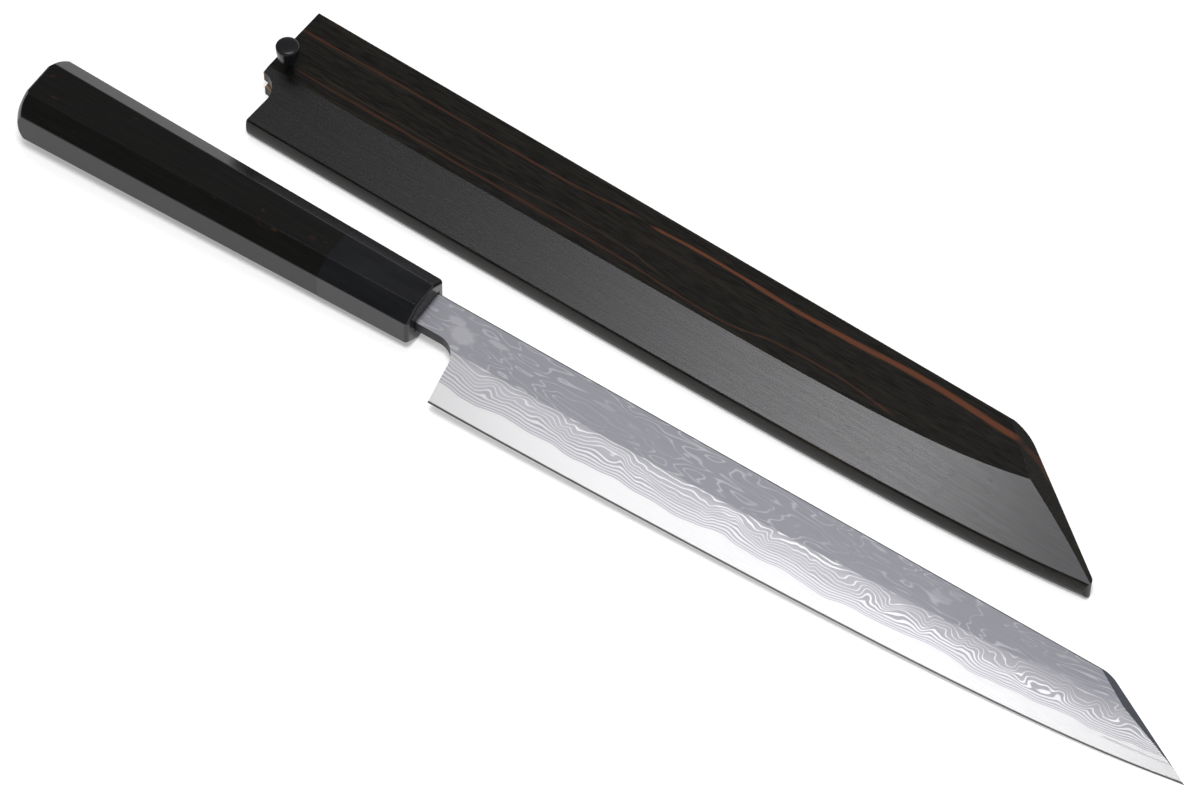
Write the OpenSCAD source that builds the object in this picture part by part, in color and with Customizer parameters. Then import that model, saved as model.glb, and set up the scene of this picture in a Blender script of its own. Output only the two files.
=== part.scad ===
/* [Handle] */
// Length of the handle, from the butt to the front of the ferrule
handle_len = 156; // [130:1:175]
// Height of the handle at the butt, from spine side to edge side
butt_height = 27.6; // [25:0.2:31]
// Thickness of the handle at the butt
butt_thickness = 22.2; // [20:0.2:26]
// Height of the ferrule at its front
front_height = 21.2; // [20:0.2:24.6]
// Thickness of the ferrule at its front
front_thickness = 19.4; // [18:0.2:22]
// Width of the four long chamfers at the butt, measured along the height
butt_chamfer = 6.4; // [4:0.1:8]
// Width of the four long chamfers at the front, measured along the height
front_chamfer = 5.8; // [3.5:0.1:7]
// Angle between a long chamfer and the flat of the handle
chamfer_angle = 37; // [30:1:45]
// Height of the crown on the butt
butt_crown = 2.5; // [1:0.1:4]
// Radius of the rounded edge round the butt
butt_edge = 2; // [1:0.1:3]

/* [Ferrule] */
// Length of the ferrule
ferrule_len = 35; // [25:1:45]
// Radius of the rounded edge round the front of the ferrule
ferrule_edge = 1.6; // [0.6:0.1:2.4]
// Depth of the slot that takes the neck of the blade
mouth_depth = 6; // [4.5:0.1:9]

/* [Dowel and tang] */
// Diameter of the wooden dowel that joins ferrule and handle
dowel_d = 13; // [12.2:0.1:14]
// Length of the dowel
dowel_len = 104; // [99:1:110]
// Play between the dowel and its bore, on the radius
glue_gap = 0.1; // [0.05:0.01:0.2]
// Length of the tang, behind the front of the ferrule
tang_len = 98; // [70:1:104]
// Height of the tang where it leaves the neck
tang_height = 9.6; // [8:0.1:10.4]
// Height of the tang at its end
tang_end = 5; // [4:0.1:7]
// Thickness of the tang
tang_thickness = 3.4; // [2.6:0.1:4]
// Thickness of the resin that seals the neck into the ferrule
seal_gap = 0.6; // [0.3:0.1:1]
// Depth of the neck inside the ferrule
neck_sunk = 4; // [3:0.1:4.4]

/* [Blade] */
// Length of the edge along the blade, from heel to tip
blade_len = 270; // [240:5:300]
// Distance from the ferrule to the corner of the heel
heel_x = 18.9; // [17:0.1:24]
// Height of the blade at the heel, from spine to edge
heel_height = 34.4; // [30:0.2:38]
// Height of the neck
neck_height = 13.4; // [11:0.1:14]
// Distance from the axis of the handle up to the spine
spine_y = 7.3; // [6:0.1:7.6]
// Thickness of the spine at the ferrule
spine_thickness = 4.8; // [4.4:0.1:5.4]
// Thickness of the spine where the slanted point begins
point_thickness = 2.4; // [1.8:0.1:3.4]
// Width of the bevel at the heel
bevel_heel = 18.4; // [14:0.1:19]
// Width of the bevel at the tip
bevel_tip = 16.6; // [13:0.1:18]
// Radius of the curve from neck to heel
choil_r = 8; // [4:0.1:9]
// How far the corner of the heel lies ahead of the curve
heel_rake = 1.4; // [0:0.1:3]
// Length of the slanted point along the blade
point_len = 37.3; // [30:0.1:50]
// Distance of the tip below the line of the spine
tip_drop = 20.3; // [16:0.1:26]
// Radius where the spine turns into the slanted point
point_r = 12; // [4:0.5:20]
// Angle between the inner edge of the slanted point's facet and the spine
point_turn = 36; // [33:1:42]
// Thickness of the very tip
tip_thickness = 0.3; // [0.2:0.05:0.6]
// Thickness of the hard steel at the heel
core_heel = 1.9; // [1.2:0.1:2.4]
// Thickness of the hard steel at the tip
core_tip = 0.6; // [0.4:0.05:1]
// Thickness of the very edge
edge_land = 0.1; // [0.05:0.01:0.2]
// Depth of the hollow in the back at the heel
hollow_depth = 0.4; // [0.1:0.05:0.8]
// Width of the hollow in the back at the heel
hollow_width = 24; // [18:0.5:26]

/* [Sheath] */
// Width of the wood beyond the spine of the blade
spine_wall = 7; // [5:0.1:10]
// Width of the wood beyond the heel of the blade
edge_wall = 6.5; // [5:0.1:10]
// Thickness of the back half
back_wall = 4; // [3:0.1:6]
// Thickness of the wood in front of the slot
front_wall = 3.3; // [2.5:0.1:5]
// Play of the blade in the slot, in width
slot_play = 0.5; // [0.3:0.1:1]
// Play of the blade in the slot, in thickness
slot_lift = 0.4; // [0.2:0.1:0.8]
// Length of the solid wood beyond the tip of the blade
nose_len = 53; // [32:1:70]
// Length of the slanted end along the sheath
slant_len = 50; // [35:1:60]
// Distance of the sheath's point below its spine
slant_drop = 36.5; // [28:0.5:40]
// Radius where the spine turns into the slanted end
slant_r = 20; // [10:1:35]
// Radius of the sheath's point
nose_r = 1.5; // [0.8:0.1:3]
// Distance from the spine to the ridge, at the mouth
ridge_drop = 27.9; // [22:0.1:32]
// Height of the arris above the table on the edge side
arris_height = 9; // [8:0.1:10]
// How far the ridge comes closer to the spine along the sheath, in its long and short curves
ridge_long = 4.4; // [2:0.1:6]
ridge_short = 28; // [10:1:30]
// Height of the sheath's point above the table
nose_height = 8.3; // [7.5:0.1:9]
// Angle between the inner edge of the slanted facet and the spine
facet_turn = 42; // [38:1:50]
// Distance by which that facet begins before the slanted end
facet_lead = 7; // [2:0.5:12]
// Depth of the notch below the tab at the mouth
notch_depth = 7.2; // [5:0.1:7.6]
// How far the lower corner of the mouth stands ahead of the notch
mouth_slant = 1.2; // [0:0.1:2]
// Height of the tab at the mouth, measured from the spine
tab_height = 30.6; // [28.5:0.1:33]
// How far the rounded edge side stands out beyond the arris, at the mouth and at the point
side_swell = 1; // [0.5:0.1:1.5]
nose_swell = 1.5; // [1:0.1:2]
// Radius of the softened edges on the spine side
soft_edge = 0.6; // [0.2:0.1:1.2]

/* [Sheath pin] */
// Diameter of the pin's shank
pin_d = 3.1; // [2.4:0.1:3.6]
// Play between the pin and its hole, on the radius
pin_play = 0.05; // [0.03:0.01:0.1]
// Distance of the pin from the mouth
pin_from_mouth = 7.1; // [5:0.1:8]
// Distance from the neck of the sheathed blade to the pin
pin_below_neck = 3.2; // [1:0.1:3.6]
// Play between the pin and the heel of the sheathed blade
heel_play = 0.8; // [0.3:0.1:2]
// Diameter of the pin's head
pin_head_d = 7.9; // [6:0.1:10]
// Height of the flared head
pin_flare = 8.7; // [4:0.1:11]
// Height of the dome on the head
pin_dome = 0.7; // [0.3:0.1:1.5]
// Length of shank that shows above the sheath
pin_stand = 5; // [1:0.1:8]
// Distance of the pin's end from the back of the sheath
pin_short = 0.8; // [0.3:0.1:2]

/* [Layout] */
// Distance of the sheath's mouth behind the front of the ferrule
mouth_back = 97.5; // [60:0.5:120]
// Gap between the handle and the sheath beside it
lay_gap = 18.2; // [14:0.1:40]
// Angle of the sheath towards the blade
lay_angle = 2.8; // [0:0.1:3]

/* [Hidden] */
$fn = 64;

// Length of the margin by which a cutter runs past what it cuts
past = 1;
// Size of the block that stands for all space beyond a cutting plane
vast = 500;
// Thickness of the flat at the shoulder line, as a share of the spine
shoulder_share = 0.94;
// Shape of the blade's edge: share and power of its long curve, power of its short one
edge_long_share = 0.58;
edge_long_power = 1.5;
edge_short_power = 7;
// Shape of the sheath's edge, in the same three numbers
low_long_share = 0.46;
low_long_power = 1.3;
low_short_power = 7;
// Powers of the ridge's long and short curves, and its least distance from the spine
ridge_long_power = 1.3;
ridge_short_power = 10;
ridge_least = 3;
// Power that rounds the sheath's edge side off where it meets the table, and power of its swell
side_power = 6;
swell_power = 4;
// Length over which the hollow in the back reaches its full depth
hollow_rise = 18;
// Depth of the hollow beyond its two ends, as a share of its full depth
hollow_least = 0.05;
// Number of steps in the lofts along the blade and along the sheath
blade_steps = 44;
sheath_steps = 40;
// Number of steps in a rounded corner, and across the hollow in the back
arc_steps = 10;
hollow_steps = 8;

chamfer_rise = tan(chamfer_angle);
back_z = -spine_thickness / 2;
tip_x = heel_x + blade_len;
point_x = tip_x - point_len;
hollow_from = heel_x + hollow_rise / 3;
hollow_to = point_x;
dowel_front = -mouth_depth;
dowel_back = dowel_front - dowel_len;
crown_r = (pow(butt_height / 2, 2) + pow(butt_crown, 2)) / (2 * butt_crown);

// The knife rests on the lower front edge of the ferrule and on its tip
rest_x = -ferrule_edge;
rest_z = -thickness_at(rest_x) / 2;
rest_angle = atan((back_z - rest_z) / (tip_x - rest_x));

// Place of the blade in the sheath, in the sheath's own axes
slot_height = spine_thickness + slot_lift;
sheath_height = back_wall + slot_height + front_wall;
neck_below_spine = spine_wall + slot_play + neck_height;
pin_y = -(neck_below_spine + pin_below_neck + pin_d / 2);
choil_x = heel_x - heel_rake - choil_r;
pin_in_choil = pin_below_neck + pin_d / 2;
heel_at_pin = choil_x + sqrt(pow(choil_r, 2) - pow(max(0, choil_r - pin_in_choil), 2));
mouth_x = heel_at_pin - heel_play - pin_d / 2 - pin_from_mouth;
sheath_width = spine_wall + slot_play + heel_height + edge_wall;
sheath_len = tip_x - mouth_x + nose_len;
slant_x = sheath_len - slant_len;

// Place of the whole set: the origin is below the middle of its bounding box
sheath_y = butt_height / 2 + lay_gap + sheath_width;
butt_x = rest_x + cos(rest_angle) * (crown_r - handle_len - rest_x)
         - sin(rest_angle) * rest_z - crown_r;
front_x = rest_x + cos(rest_angle) * (tip_x - rest_x) + sin(rest_angle) * (back_z - rest_z);
middle_x = (butt_x + front_x) / 2;
middle_y = (sheath_y + spine_y - heel_height) / 2;

echo(pin_place = sheath_place(pin_from_mouth, pin_y), sheath_height = sheath_height);
echo(mouth_place = sheath_place(0, 0), middle = [middle_x, middle_y], tilt = rest_angle);
echo(mouth_x = mouth_x, sheath_len = sheath_len, slant_x = slant_x);

// Height, thickness and chamfer of the handle at a place along it
function along(x) = -x / handle_len;
function height_at(x) = front_height + (butt_height - front_height) * along(x);
function thickness_at(x) = front_thickness + (butt_thickness - front_thickness) * along(x);
function chamfer_at(x) = front_chamfer + (butt_chamfer - front_chamfer) * along(x);

// Eight corners of the handle's section, drawn in by a margin
function octagon(x, inset = 0) =
    let (h = height_at(x) / 2 - inset, t = thickness_at(x) / 2 - inset, c = chamfer_at(x) - inset / 2)
    let (d = c * chamfer_rise)
    [[x, h, d - t], [x, h, t - d], [x, h - c, t], [x, c - h, t],
     [x, -h, t - d], [x, -h, d - t], [x, c - h, -t], [x, h - c, -t]];

// Curves of the blade seen from above: y is 0 along the spine
function along_edge(x) = min(1, max(0, (x - heel_x) / blade_len));
function rise(u, share, long_power, short_power) =
    share * pow(u, long_power) + (1 - share) * pow(u, short_power);
function edge_y(x) = -heel_height + (heel_height - tip_drop)
    * rise(along_edge(x), edge_long_share, edge_long_power, edge_short_power);
function shoulder_y(x) = edge_y(x) + bevel_heel + (bevel_tip - bevel_heel) * along_edge(x);
function spine_at(x) = spine_thickness + (point_thickness - spine_thickness) * x / point_x;

// Shallow hollow in the back: deepest near the heel, run out before the tip
function hollow_share(x) =
    let (in_front = (x - hollow_from) / hollow_rise, behind = (hollow_to - x) / (hollow_to - hollow_from))
    max(hollow_least, min(in_front, 1, behind));
function hollow_arc(x) =
    let (middle = edge_y(x) / 2, half = -middle * hollow_width / heel_height)
    [for (i = [0 : hollow_steps])
        let (t = 2 * i / hollow_steps - 1)
        [x, middle + t * half, hollow_depth * hollow_share(x) * (1 - t * t)]];

// Section of the blade, and of the room that it needs in the sheath
function blade_section(x) = concat(
    [[x, 0, 0], [x, 0, spine_at(x)], [x, shoulder_y(x), spine_at(x) * shoulder_share],
     [x, edge_y(x), edge_land], [x, edge_y(x), 0]],
    [for (i = [1 : hollow_steps - 1]) hollow_arc(x)[i]]);
function room_section(x) =
    let (y = edge_y(x) - slot_play, lip = edge_land + slot_lift)
    [[x, slot_play, 0], [x, slot_play, slot_height], [x, shoulder_y(x) - slot_play, slot_height],
     [x, y, lip + slot_lift], [x, y, 0]];

// Curves of the sheath seen from above, and its section
function along_sheath(x) = min(1, max(0, x / sheath_len));
function low_y(x) = -sheath_width + (sheath_width - slant_drop)
    * rise(along_sheath(x), low_long_share, low_long_power, low_short_power);
function ridge_y(x) = min(-ridge_least, ridge_long * pow(along_sheath(x), ridge_long_power)
    + ridge_short * pow(along_sheath(x), ridge_short_power) - ridge_drop);
function swell_at(x) = side_swell + (nose_swell - side_swell) * pow(along_sheath(x), swell_power);
function side_arc(x) =
    [for (i = [0 : arc_steps])
        let (off = 1 - 2 * i / arc_steps, round_off = off < 0 ? pow(off, side_power) : 0)
        [x, low_y(x) + swell_at(x) * (pow(off, 2) + round_off), arris_height * (1 + off) / 2]];
function sheath_section(x) = concat(
    [[x, -soft_edge, 0], [x, 0, soft_edge], [x, 0, sheath_height - soft_edge],
     [x, -soft_edge, sheath_height], [x, ridge_y(x), sheath_height]],
    side_arc(x));

function steps(from, to, count) = [for (i = [0 : count]) from + (to - from) * i / count];
function arc(centre, r, from, to) =
    [for (i = [0 : arc_steps]) let (a = from + (to - from) * i / arc_steps)
        centre + r * [cos(a), sin(a)]];

// Rounded corner between the spine, at y = 0, and a slanted line through (x, 0)
function turned(x, angle, r) = arc([x - r * tan(angle / 2), -r], r, 90, 90 - angle);

function sheath_place(x, y) =
    [x * cos(lay_angle) + y * sin(lay_angle) - mouth_back - middle_x,
     y * cos(lay_angle) - x * sin(lay_angle) + sheath_y - middle_y];

// A closed skin over sections that all have the same number of corners. Each end is a fan
// of triangles round its third corner.
module loft(sections) {
    n = len(sections[0]);
    last = (len(sections) - 1) * n;
    fan = [for (i = [3 : n]) [2, i % n, (i + 1) % n]];
    polyhedron(
        points = [for (section = sections) each section],
        faces = concat(
            fan,
            [for (f = fan) [last + f[2], last + f[1], last + f[0]]],
            [for (k = [0 : n : last - n], i = [0 : n - 1]) [k + i, k + n + i, k + (i + 1) % n]],
            [for (k = [0 : n : last - n], i = [0 : n - 1])
                [k + (i + 1) % n, k + n + i, k + n + (i + 1) % n]]));
}

// All space above the plane through p with the normal n
module above(p, n) {
    translate(p)
        rotate([0, acos(n.z / norm(n)), atan2(n.y, n.x)])
            translate([-vast / 2, -vast / 2, 0])
                cube([vast, vast, vast / 2]);
}

// A cylinder that lies along X
module rod(r, from, to) {
    translate([from, 0, 0])
        rotate([0, 90, 0])
            cylinder(r = r, h = to - from);
}

// The knife lies on its back, resting on ferrule and tip
module lay_knife() {
    translate([rest_x - middle_x, -middle_y, 0])
        rotate([0, rest_angle, 0])
            translate([-rest_x, 0, -rest_z])
                children();
}

// Axes of the blade: y is 0 along the spine and z is 0 on the back
module at_blade() {
    translate([0, spine_y, back_z])
        children();
}

// The sheath lies on its back half, beside the knife
module lay_sheath() {
    translate([-mouth_back - middle_x, sheath_y - middle_y, 0])
        rotate([0, 0, -lay_angle])
            children();
}

// Outline of the blade: neck, choil, heel and slanted point
module blade_outline() {
    point_angle = atan(tip_drop / point_len);
    heel_end = heel_x - heel_rake;
    reach = heel_height + past;
    polygon(concat(
        [[-neck_sunk, past], [-neck_sunk, -neck_height]],
        arc([choil_x, -neck_height - choil_r], choil_r, 90, 0),
        [[heel_end + heel_rake * (reach - neck_height - choil_r)
              / (heel_height - neck_height - choil_r), -reach],
         [tip_x + past, -reach],
         [tip_x + past, -tip_drop - past * tan(point_angle)]],
        [for (i = [arc_steps : -1 : 0]) turned(point_x, point_angle, point_r)[i]],
        [[point_x - point_r, past]]));
}

// The whole blade with its tang, before steel and cladding are told apart
module blade_blank() {
    facet_start = point_x - point_r * tan(atan(tip_drop / point_len) / 2) - past;
    facet_from = [facet_start, 0, spine_at(facet_start)];
    facet_to = [tip_x, -tip_drop, tip_thickness];
    facet_line = [cos(point_turn), -sin(point_turn), 0];
    difference() {
        intersection() {
            loft([for (x = steps(-neck_sunk, tip_x + past, blade_steps)) blade_section(x)]);
            translate([0, 0, -past])
                linear_extrude(spine_thickness * 2)
                    blade_outline();
        }
        above(facet_from, cross(facet_line, facet_to - facet_from));
    }
}

// The part of the blade that is hard steel: below a plane that falls to the tip
module steel_zone() {
    from = heel_x - choil_r;
    rotate([90, 0, 0])
        translate([0, 0, -past])
            linear_extrude(heel_height + 3 * past)
                polygon([[from, -past], [tip_x + 2 * past, -past],
                         [tip_x + 2 * past, core_tip],
                         [from, core_heel]]);
}

// The tang, in the axes of the handle
module tang() {
    translate([0, 0, -tang_thickness / 2])
        linear_extrude(tang_thickness)
            polygon([[-neck_sunk, tang_height / 2], [-tang_len, tang_end / 2],
                     [-tang_len, -tang_end / 2], [-neck_sunk, -tang_height / 2]]);
}

// The slot in the ferrule that takes the neck
module ferrule_mouth() {
    translate([-mouth_depth, spine_y - neck_height - seal_gap, -spine_thickness / 2 - seal_gap])
        cube([mouth_depth + past, neck_height + 2 * seal_gap, spine_thickness + 2 * seal_gap]);
}

// Octagonal ebony handle with a crowned butt and a bore for the dowel
module handle() {
    crown_x = crown_r - handle_len;
    round_x = crown_x - sqrt(pow(crown_r - butt_edge, 2) - pow(butt_height / 2 - butt_edge, 2));
    round_end = 90 - asin((butt_height / 2 - butt_edge) / (crown_r - butt_edge));
    round_steps = 5;
    color("#191614")
        lay_knife()
            difference() {
                intersection() {
                    loft(concat(
                        [octagon(-handle_len - past, butt_edge * 3)],
                        [for (i = [round_steps : -1 : 0])
                            let (a = round_end * i / round_steps)
                            octagon(round_x - butt_edge * sin(a), butt_edge * (1 - cos(a)))],
                        [octagon(-ferrule_len)]));
                    union() {
                        translate([crown_x, 0, 0])
                            sphere(r = crown_r);
                        translate([crown_x, -vast / 2, -vast / 2])
                            cube([vast, vast, vast]);
                    }
                }
                rod(dowel_d / 2 + glue_gap, dowel_back - glue_gap, -ferrule_len + past);
            }
}

// Horn ferrule with rounded front edges, bored for the dowel and slotted for the neck
module ferrule() {
    round_steps = 5;
    color("#26262a")
        lay_knife()
            difference() {
                loft(concat(
                    [octagon(-ferrule_len)],
                    [for (i = [0 : round_steps])
                        let (a = 90 * i / round_steps)
                        octagon(ferrule_edge * (sin(a) - 1), ferrule_edge * (1 - cos(a)))]));
                rod(dowel_d / 2 + glue_gap, -ferrule_len - past, dowel_front);
                ferrule_mouth();
            }
}

// Slotted wooden dowel that holds the tang and joins ferrule and handle
module tang_dowel() {
    color("#c8a878")
        lay_knife()
            difference() {
                rod(dowel_d / 2, dowel_back, dowel_front);
                translate([dowel_back - past, -tang_height / 2 - glue_gap,
                           -tang_thickness / 2 - glue_gap])
                    cube([dowel_len + 2 * past, tang_height + 2 * glue_gap,
                          tang_thickness + 2 * glue_gap]);
            }
}

// Resin round the neck, just below the front of the ferrule
module neck_seal() {
    recess = seal_gap / 2;
    color("#3a3632")
        lay_knife()
            difference() {
                intersection() {
                    ferrule_mouth();
                    translate([-mouth_depth, -vast / 2, -vast / 2])
                        cube([mouth_depth - recess, vast, vast]);
                }
                at_blade()
                    linear_extrude(spine_thickness * 3, center = true)
                        polygon([[-neck_sunk, 0], [past, 0],
                                 [past, -neck_height], [-neck_sunk, -neck_height]]);
                translate([-mouth_depth - past, -tang_height / 2, -tang_thickness / 2])
                    cube([mouth_depth, tang_height, tang_thickness]);
            }
}

// Layered cladding: the flat, the upper bevel, the neck and the tang
module blade_cladding() {
    color("#a9a9ae")
        lay_knife() {
            at_blade()
                difference() {
                    blade_blank();
                    steel_zone();
                }
            tang();
        }
}

// Hard steel: the back of the blade and the edge
module blade_core() {
    color("#dcdce0")
        lay_knife()
            at_blade()
                intersection() {
                    blade_blank();
                    steel_zone();
                }
}

// Outline of the sheath: mouth with its tab and notch, long edge and slanted end
module sheath_outline() {
    slant_angle = atan(slant_drop / slant_len);
    low_angle = atan((low_y(sheath_len) - low_y(sheath_len - past)) / past);
    nose_half = (slant_angle + low_angle) / 2;
    nose_turn = low_angle - nose_half;
    nose_centre = [sheath_len, -slant_drop]
        - nose_r / sin(nose_half) * [cos(nose_turn), sin(nose_turn)];
    difference() {
        polygon(concat(
            [[0, -vast / 2], [sheath_len - vast / 4, -vast / 2]],
            arc(nose_centre, nose_r, low_angle - 90, 90 - slant_angle),
            [for (i = [arc_steps : -1 : 0]) turned(slant_x, slant_angle, slant_r)[i]],
            [[slant_x - slant_r, past], [0, past]]));
        polygon([[-past, -tab_height - notch_depth], [notch_depth, -tab_height - notch_depth],
                 [notch_depth - mouth_slant, -sheath_width],
                 [notch_depth - mouth_slant, -vast], [-past, -vast]]);
        translate([0, -tab_height - notch_depth])
            circle(r = notch_depth);
    }
}

// The whole sheath, before its halves are told apart
module sheath_blank() {
    facet_from = [slant_x - facet_lead, 0, sheath_height];
    facet_to = [sheath_len, -slant_drop, nose_height];
    facet_line = [cos(facet_turn), -sin(facet_turn), 0];
    difference() {
        intersection() {
            loft([for (x = steps(-past, sheath_len + past, sheath_steps)) sheath_section(x)]);
            translate([0, 0, -past])
                linear_extrude(sheath_height + 2 * past)
                    sheath_outline();
        }
        above(facet_from, cross(facet_line, facet_to - facet_from));
        translate([pin_from_mouth, pin_y, -past])
            cylinder(r = pin_d / 2 + pin_play, h = sheath_height + 2 * past);
    }
}

// Room for the blade inside the sheath, as long as the blade with its play
module blade_room() {
    point_angle = atan(tip_drop / point_len);
    translate([-mouth_x, -spine_wall - slot_play, back_wall])
        intersection() {
            loft([for (x = steps(-past, tip_x + 2 * slot_play, blade_steps)) room_section(x)]);
            linear_extrude(slot_height * 3, center = true)
                polygon([[-past, slot_play + past], [-past, -vast / 4],
                         [tip_x + 2 * slot_play, -vast / 4],
                         [tip_x + 2 * slot_play, -tip_drop],
                         [point_x + 2 * slot_play, slot_play],
                         [point_x, slot_play + past]]);
        }
}

// Front half of the sheath, with the slot carved into it
module sheath_front() {
    color("#2a1c16")
        lay_sheath()
            difference() {
                sheath_blank();
                translate([-vast / 2, -vast / 2, back_wall - vast])
                    cube([vast * 2, vast, vast]);
                blade_room();
            }
}

// Back half of the sheath, flat on the table
module sheath_back() {
    color("#241813")
        lay_sheath()
            intersection() {
                sheath_blank();
                translate([-vast / 2, -vast / 2, back_wall - vast])
                    cube([vast * 2, vast, vast]);
            }
}

// Turned pin that keeps the sheath on: shank and flared head with a low dome
module sheath_pin() {
    flare_z = sheath_height + pin_stand;
    dome_z = flare_z + pin_flare;
    dome_r = (pow(pin_head_d / 2, 2) + pow(pin_dome, 2)) / (2 * pin_dome);
    color("#17171a")
        lay_sheath()
            translate([pin_from_mouth, pin_y, 0]) {
                translate([0, 0, pin_short])
                    cylinder(d = pin_d, h = flare_z - pin_short);
                translate([0, 0, flare_z])
                    rotate_extrude()
                        polygon(concat(
                            [[0, pin_flare], [0, 0]],
                            [for (i = [0 : arc_steps])
                                let (a = 90 * i / arc_steps)
                                [pin_d / 2 + (pin_head_d - pin_d) / 2 * sin(a),
                                 pin_flare * (1 - cos(a))]]));
                intersection() {
                    translate([0, 0, dome_z])
                        cylinder(d = pin_head_d, h = pin_dome);
                    translate([0, 0, dome_z + pin_dome - dome_r])
                        sphere(r = dome_r);
                }
            }
}

handle();
ferrule();
tang_dowel();
neck_seal();
blade_cladding();
blade_core();
sheath_front();
sheath_back();
sheath_pin();
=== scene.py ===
# %% [markdown]
# # A yanagiba and its wooden sheath
#
# This lesson dresses a imported CAD model of a Japanese slicing knife. The CAD solids give every
# place and size, so a piece made here lands where the solid was, and the solid is hidden.
# The frame is loaded first. No piece may grow past it.

# %% Load the frame
import math

import bmesh
import bpy
from mathutils import Matrix, Vector


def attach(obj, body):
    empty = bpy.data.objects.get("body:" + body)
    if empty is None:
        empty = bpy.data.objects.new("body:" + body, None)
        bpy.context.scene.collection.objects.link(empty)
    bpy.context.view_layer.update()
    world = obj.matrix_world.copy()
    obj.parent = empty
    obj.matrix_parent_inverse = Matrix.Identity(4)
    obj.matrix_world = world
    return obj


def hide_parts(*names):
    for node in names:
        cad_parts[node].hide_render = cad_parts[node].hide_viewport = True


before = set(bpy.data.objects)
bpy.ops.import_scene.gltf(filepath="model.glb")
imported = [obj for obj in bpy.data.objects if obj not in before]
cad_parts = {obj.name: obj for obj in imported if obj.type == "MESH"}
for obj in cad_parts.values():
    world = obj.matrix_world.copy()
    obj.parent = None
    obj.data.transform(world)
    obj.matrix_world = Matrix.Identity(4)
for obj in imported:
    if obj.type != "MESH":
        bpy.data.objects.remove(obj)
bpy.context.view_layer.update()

# %% [markdown]
# ## Axes of the knife and of the sheath
#
# The knife lies on its back and leans a little, because it rests on the ferrule and on the tip.
# The sheath lies flat beside it, turned by a few degrees. Both are easier to model in axes of
# their own, in millimetres: X runs along the piece, Y across it and Z up. A matrix then lays
# each finished piece in its place. The same matrices are used by the materials later.

# %% Matrices that lay the pieces down
MM = 0.001
KNIFE_TILT = math.radians(1.44232)
SHEATH_TURN = math.radians(-2.8)
REST = Vector((-1.6, 0, -9.7144)) * MM
KNIFE = (Matrix.Translation(Vector((-68.2365, -26.65, 0)) * MM)
         @ Matrix.Rotation(KNIFE_TILT, 4, "Y") @ Matrix.Translation(-REST))
BLADE = KNIFE @ Matrix.Translation(Vector((0, 7.3, -2.4)) * MM)
SHEATH = (Matrix.Translation(Vector((-164.1365, 53.75, 0)) * MM)
          @ Matrix.Rotation(SHEATH_TURN, 4, "Z"))
print("the knife leans by", round(math.degrees(KNIFE_TILT), 2), "degrees")

# %% [markdown]
# ## Camera
#
# The photograph is taken from high up and from the edge side of the knife, with a long lens
# that keeps the long pieces nearly free of perspective. A focal length is a number of
# millimetres on a 36 mm sensor. The small roll follows the photograph's own tilt.

# %% Camera
CAMERA_AT = Vector((468.96, -754.95, 1313.3)) * MM
LOOK_AT = Vector((-4.29, -18.86, 0)) * MM
aim = (LOOK_AT - CAMERA_AT).to_track_quat("-Z", "Y").to_matrix()
aim = aim @ Matrix.Rotation(math.radians(0.37), 3, "Z")
bpy.ops.object.camera_add(location=CAMERA_AT, rotation=aim.to_euler())
camera = bpy.context.object
camera.data.lens = 147.126
camera.data.sensor_width = 36
camera.data.clip_end = 20
bpy.context.scene.camera = camera
bpy.context.scene.view_settings.view_transform = "Standard"
print("camera", [round(v, 3) for v in camera.location])

# %% [markdown]
# ## Floor and light
#
# The set stands on seamless white paper, and a large plane is the paper. It could be bent up
# into a backdrop, but the camera looks down so steeply that it sees the floor alone.

# %% Floor
bpy.ops.mesh.primitive_plane_add(size=8, location=(0, 0, -0.0003))
floor = bpy.context.object
floor.name = "paper_floor"
print("floor", [round(v, 2) for v in floor.dimensions])

# %% [markdown]
# ## Short words for node trees
#
# A material could be wired by hand in the shader editor. In code each node takes several
# lines, so small helpers are made first: fill a node's inputs, add a node, do a sum, mix two
# colours, and fade one number into another.

# %% Helpers for node trees


def plug(tree, socket, value):
    """Gives a socket a value, or links it to another node's output."""
    if isinstance(value, bpy.types.NodeSocket):
        tree.links.new(value, socket)
    else:
        socket.default_value = value


def dress(tree, node, **inputs):
    """Fills a node's inputs by name."""
    for name, value in inputs.items():
        plug(tree, node.inputs[name.replace("_", " ")], value)


def add(tree, kind, **inputs):
    """Adds a shader node and fills its inputs by name."""
    made = tree.nodes.new("ShaderNode" + kind)
    dress(tree, made, **inputs)
    return made


def calc(tree, operation, a, b=0.0, c=0.0):
    """One step of arithmetic on numbers or sockets."""
    made = tree.nodes.new("ShaderNodeMath")
    made.operation = operation
    for socket, value in zip(made.inputs, (a, b, c)):
        plug(tree, socket, value)
    return made.outputs[0]


def times(tree, a, b):
    """Product of two numbers or sockets."""
    return calc(tree, "MULTIPLY", a, b)


def blend(tree, share, a, b):
    """Goes from colour a to colour b as the share goes from 0 to 1."""
    made = tree.nodes.new("ShaderNodeMix")
    made.data_type = "RGBA"
    for socket, value in zip((made.inputs[0], made.inputs[6], made.inputs[7]), (share, a, b)):
        plug(tree, socket, value)
    return made.outputs[2]


def fade(tree, value, start, end, low=0.0, high=1.0):
    """Goes smoothly from low to high while the value goes from start to end."""
    made = tree.nodes.new("ShaderNodeMapRange")
    made.interpolation_type = "SMOOTHSTEP"
    for socket, number in zip(made.inputs, (value, start, end, low, high)):
        plug(tree, socket, number)
    return made.outputs[0]


def start_finish(name):
    """A new material with its node tree and its shader."""
    material = bpy.data.materials.new(name)
    material.use_nodes = True
    return material, material.node_tree, material.node_tree.nodes["Principled BSDF"]


print("node helpers ready")

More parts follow.
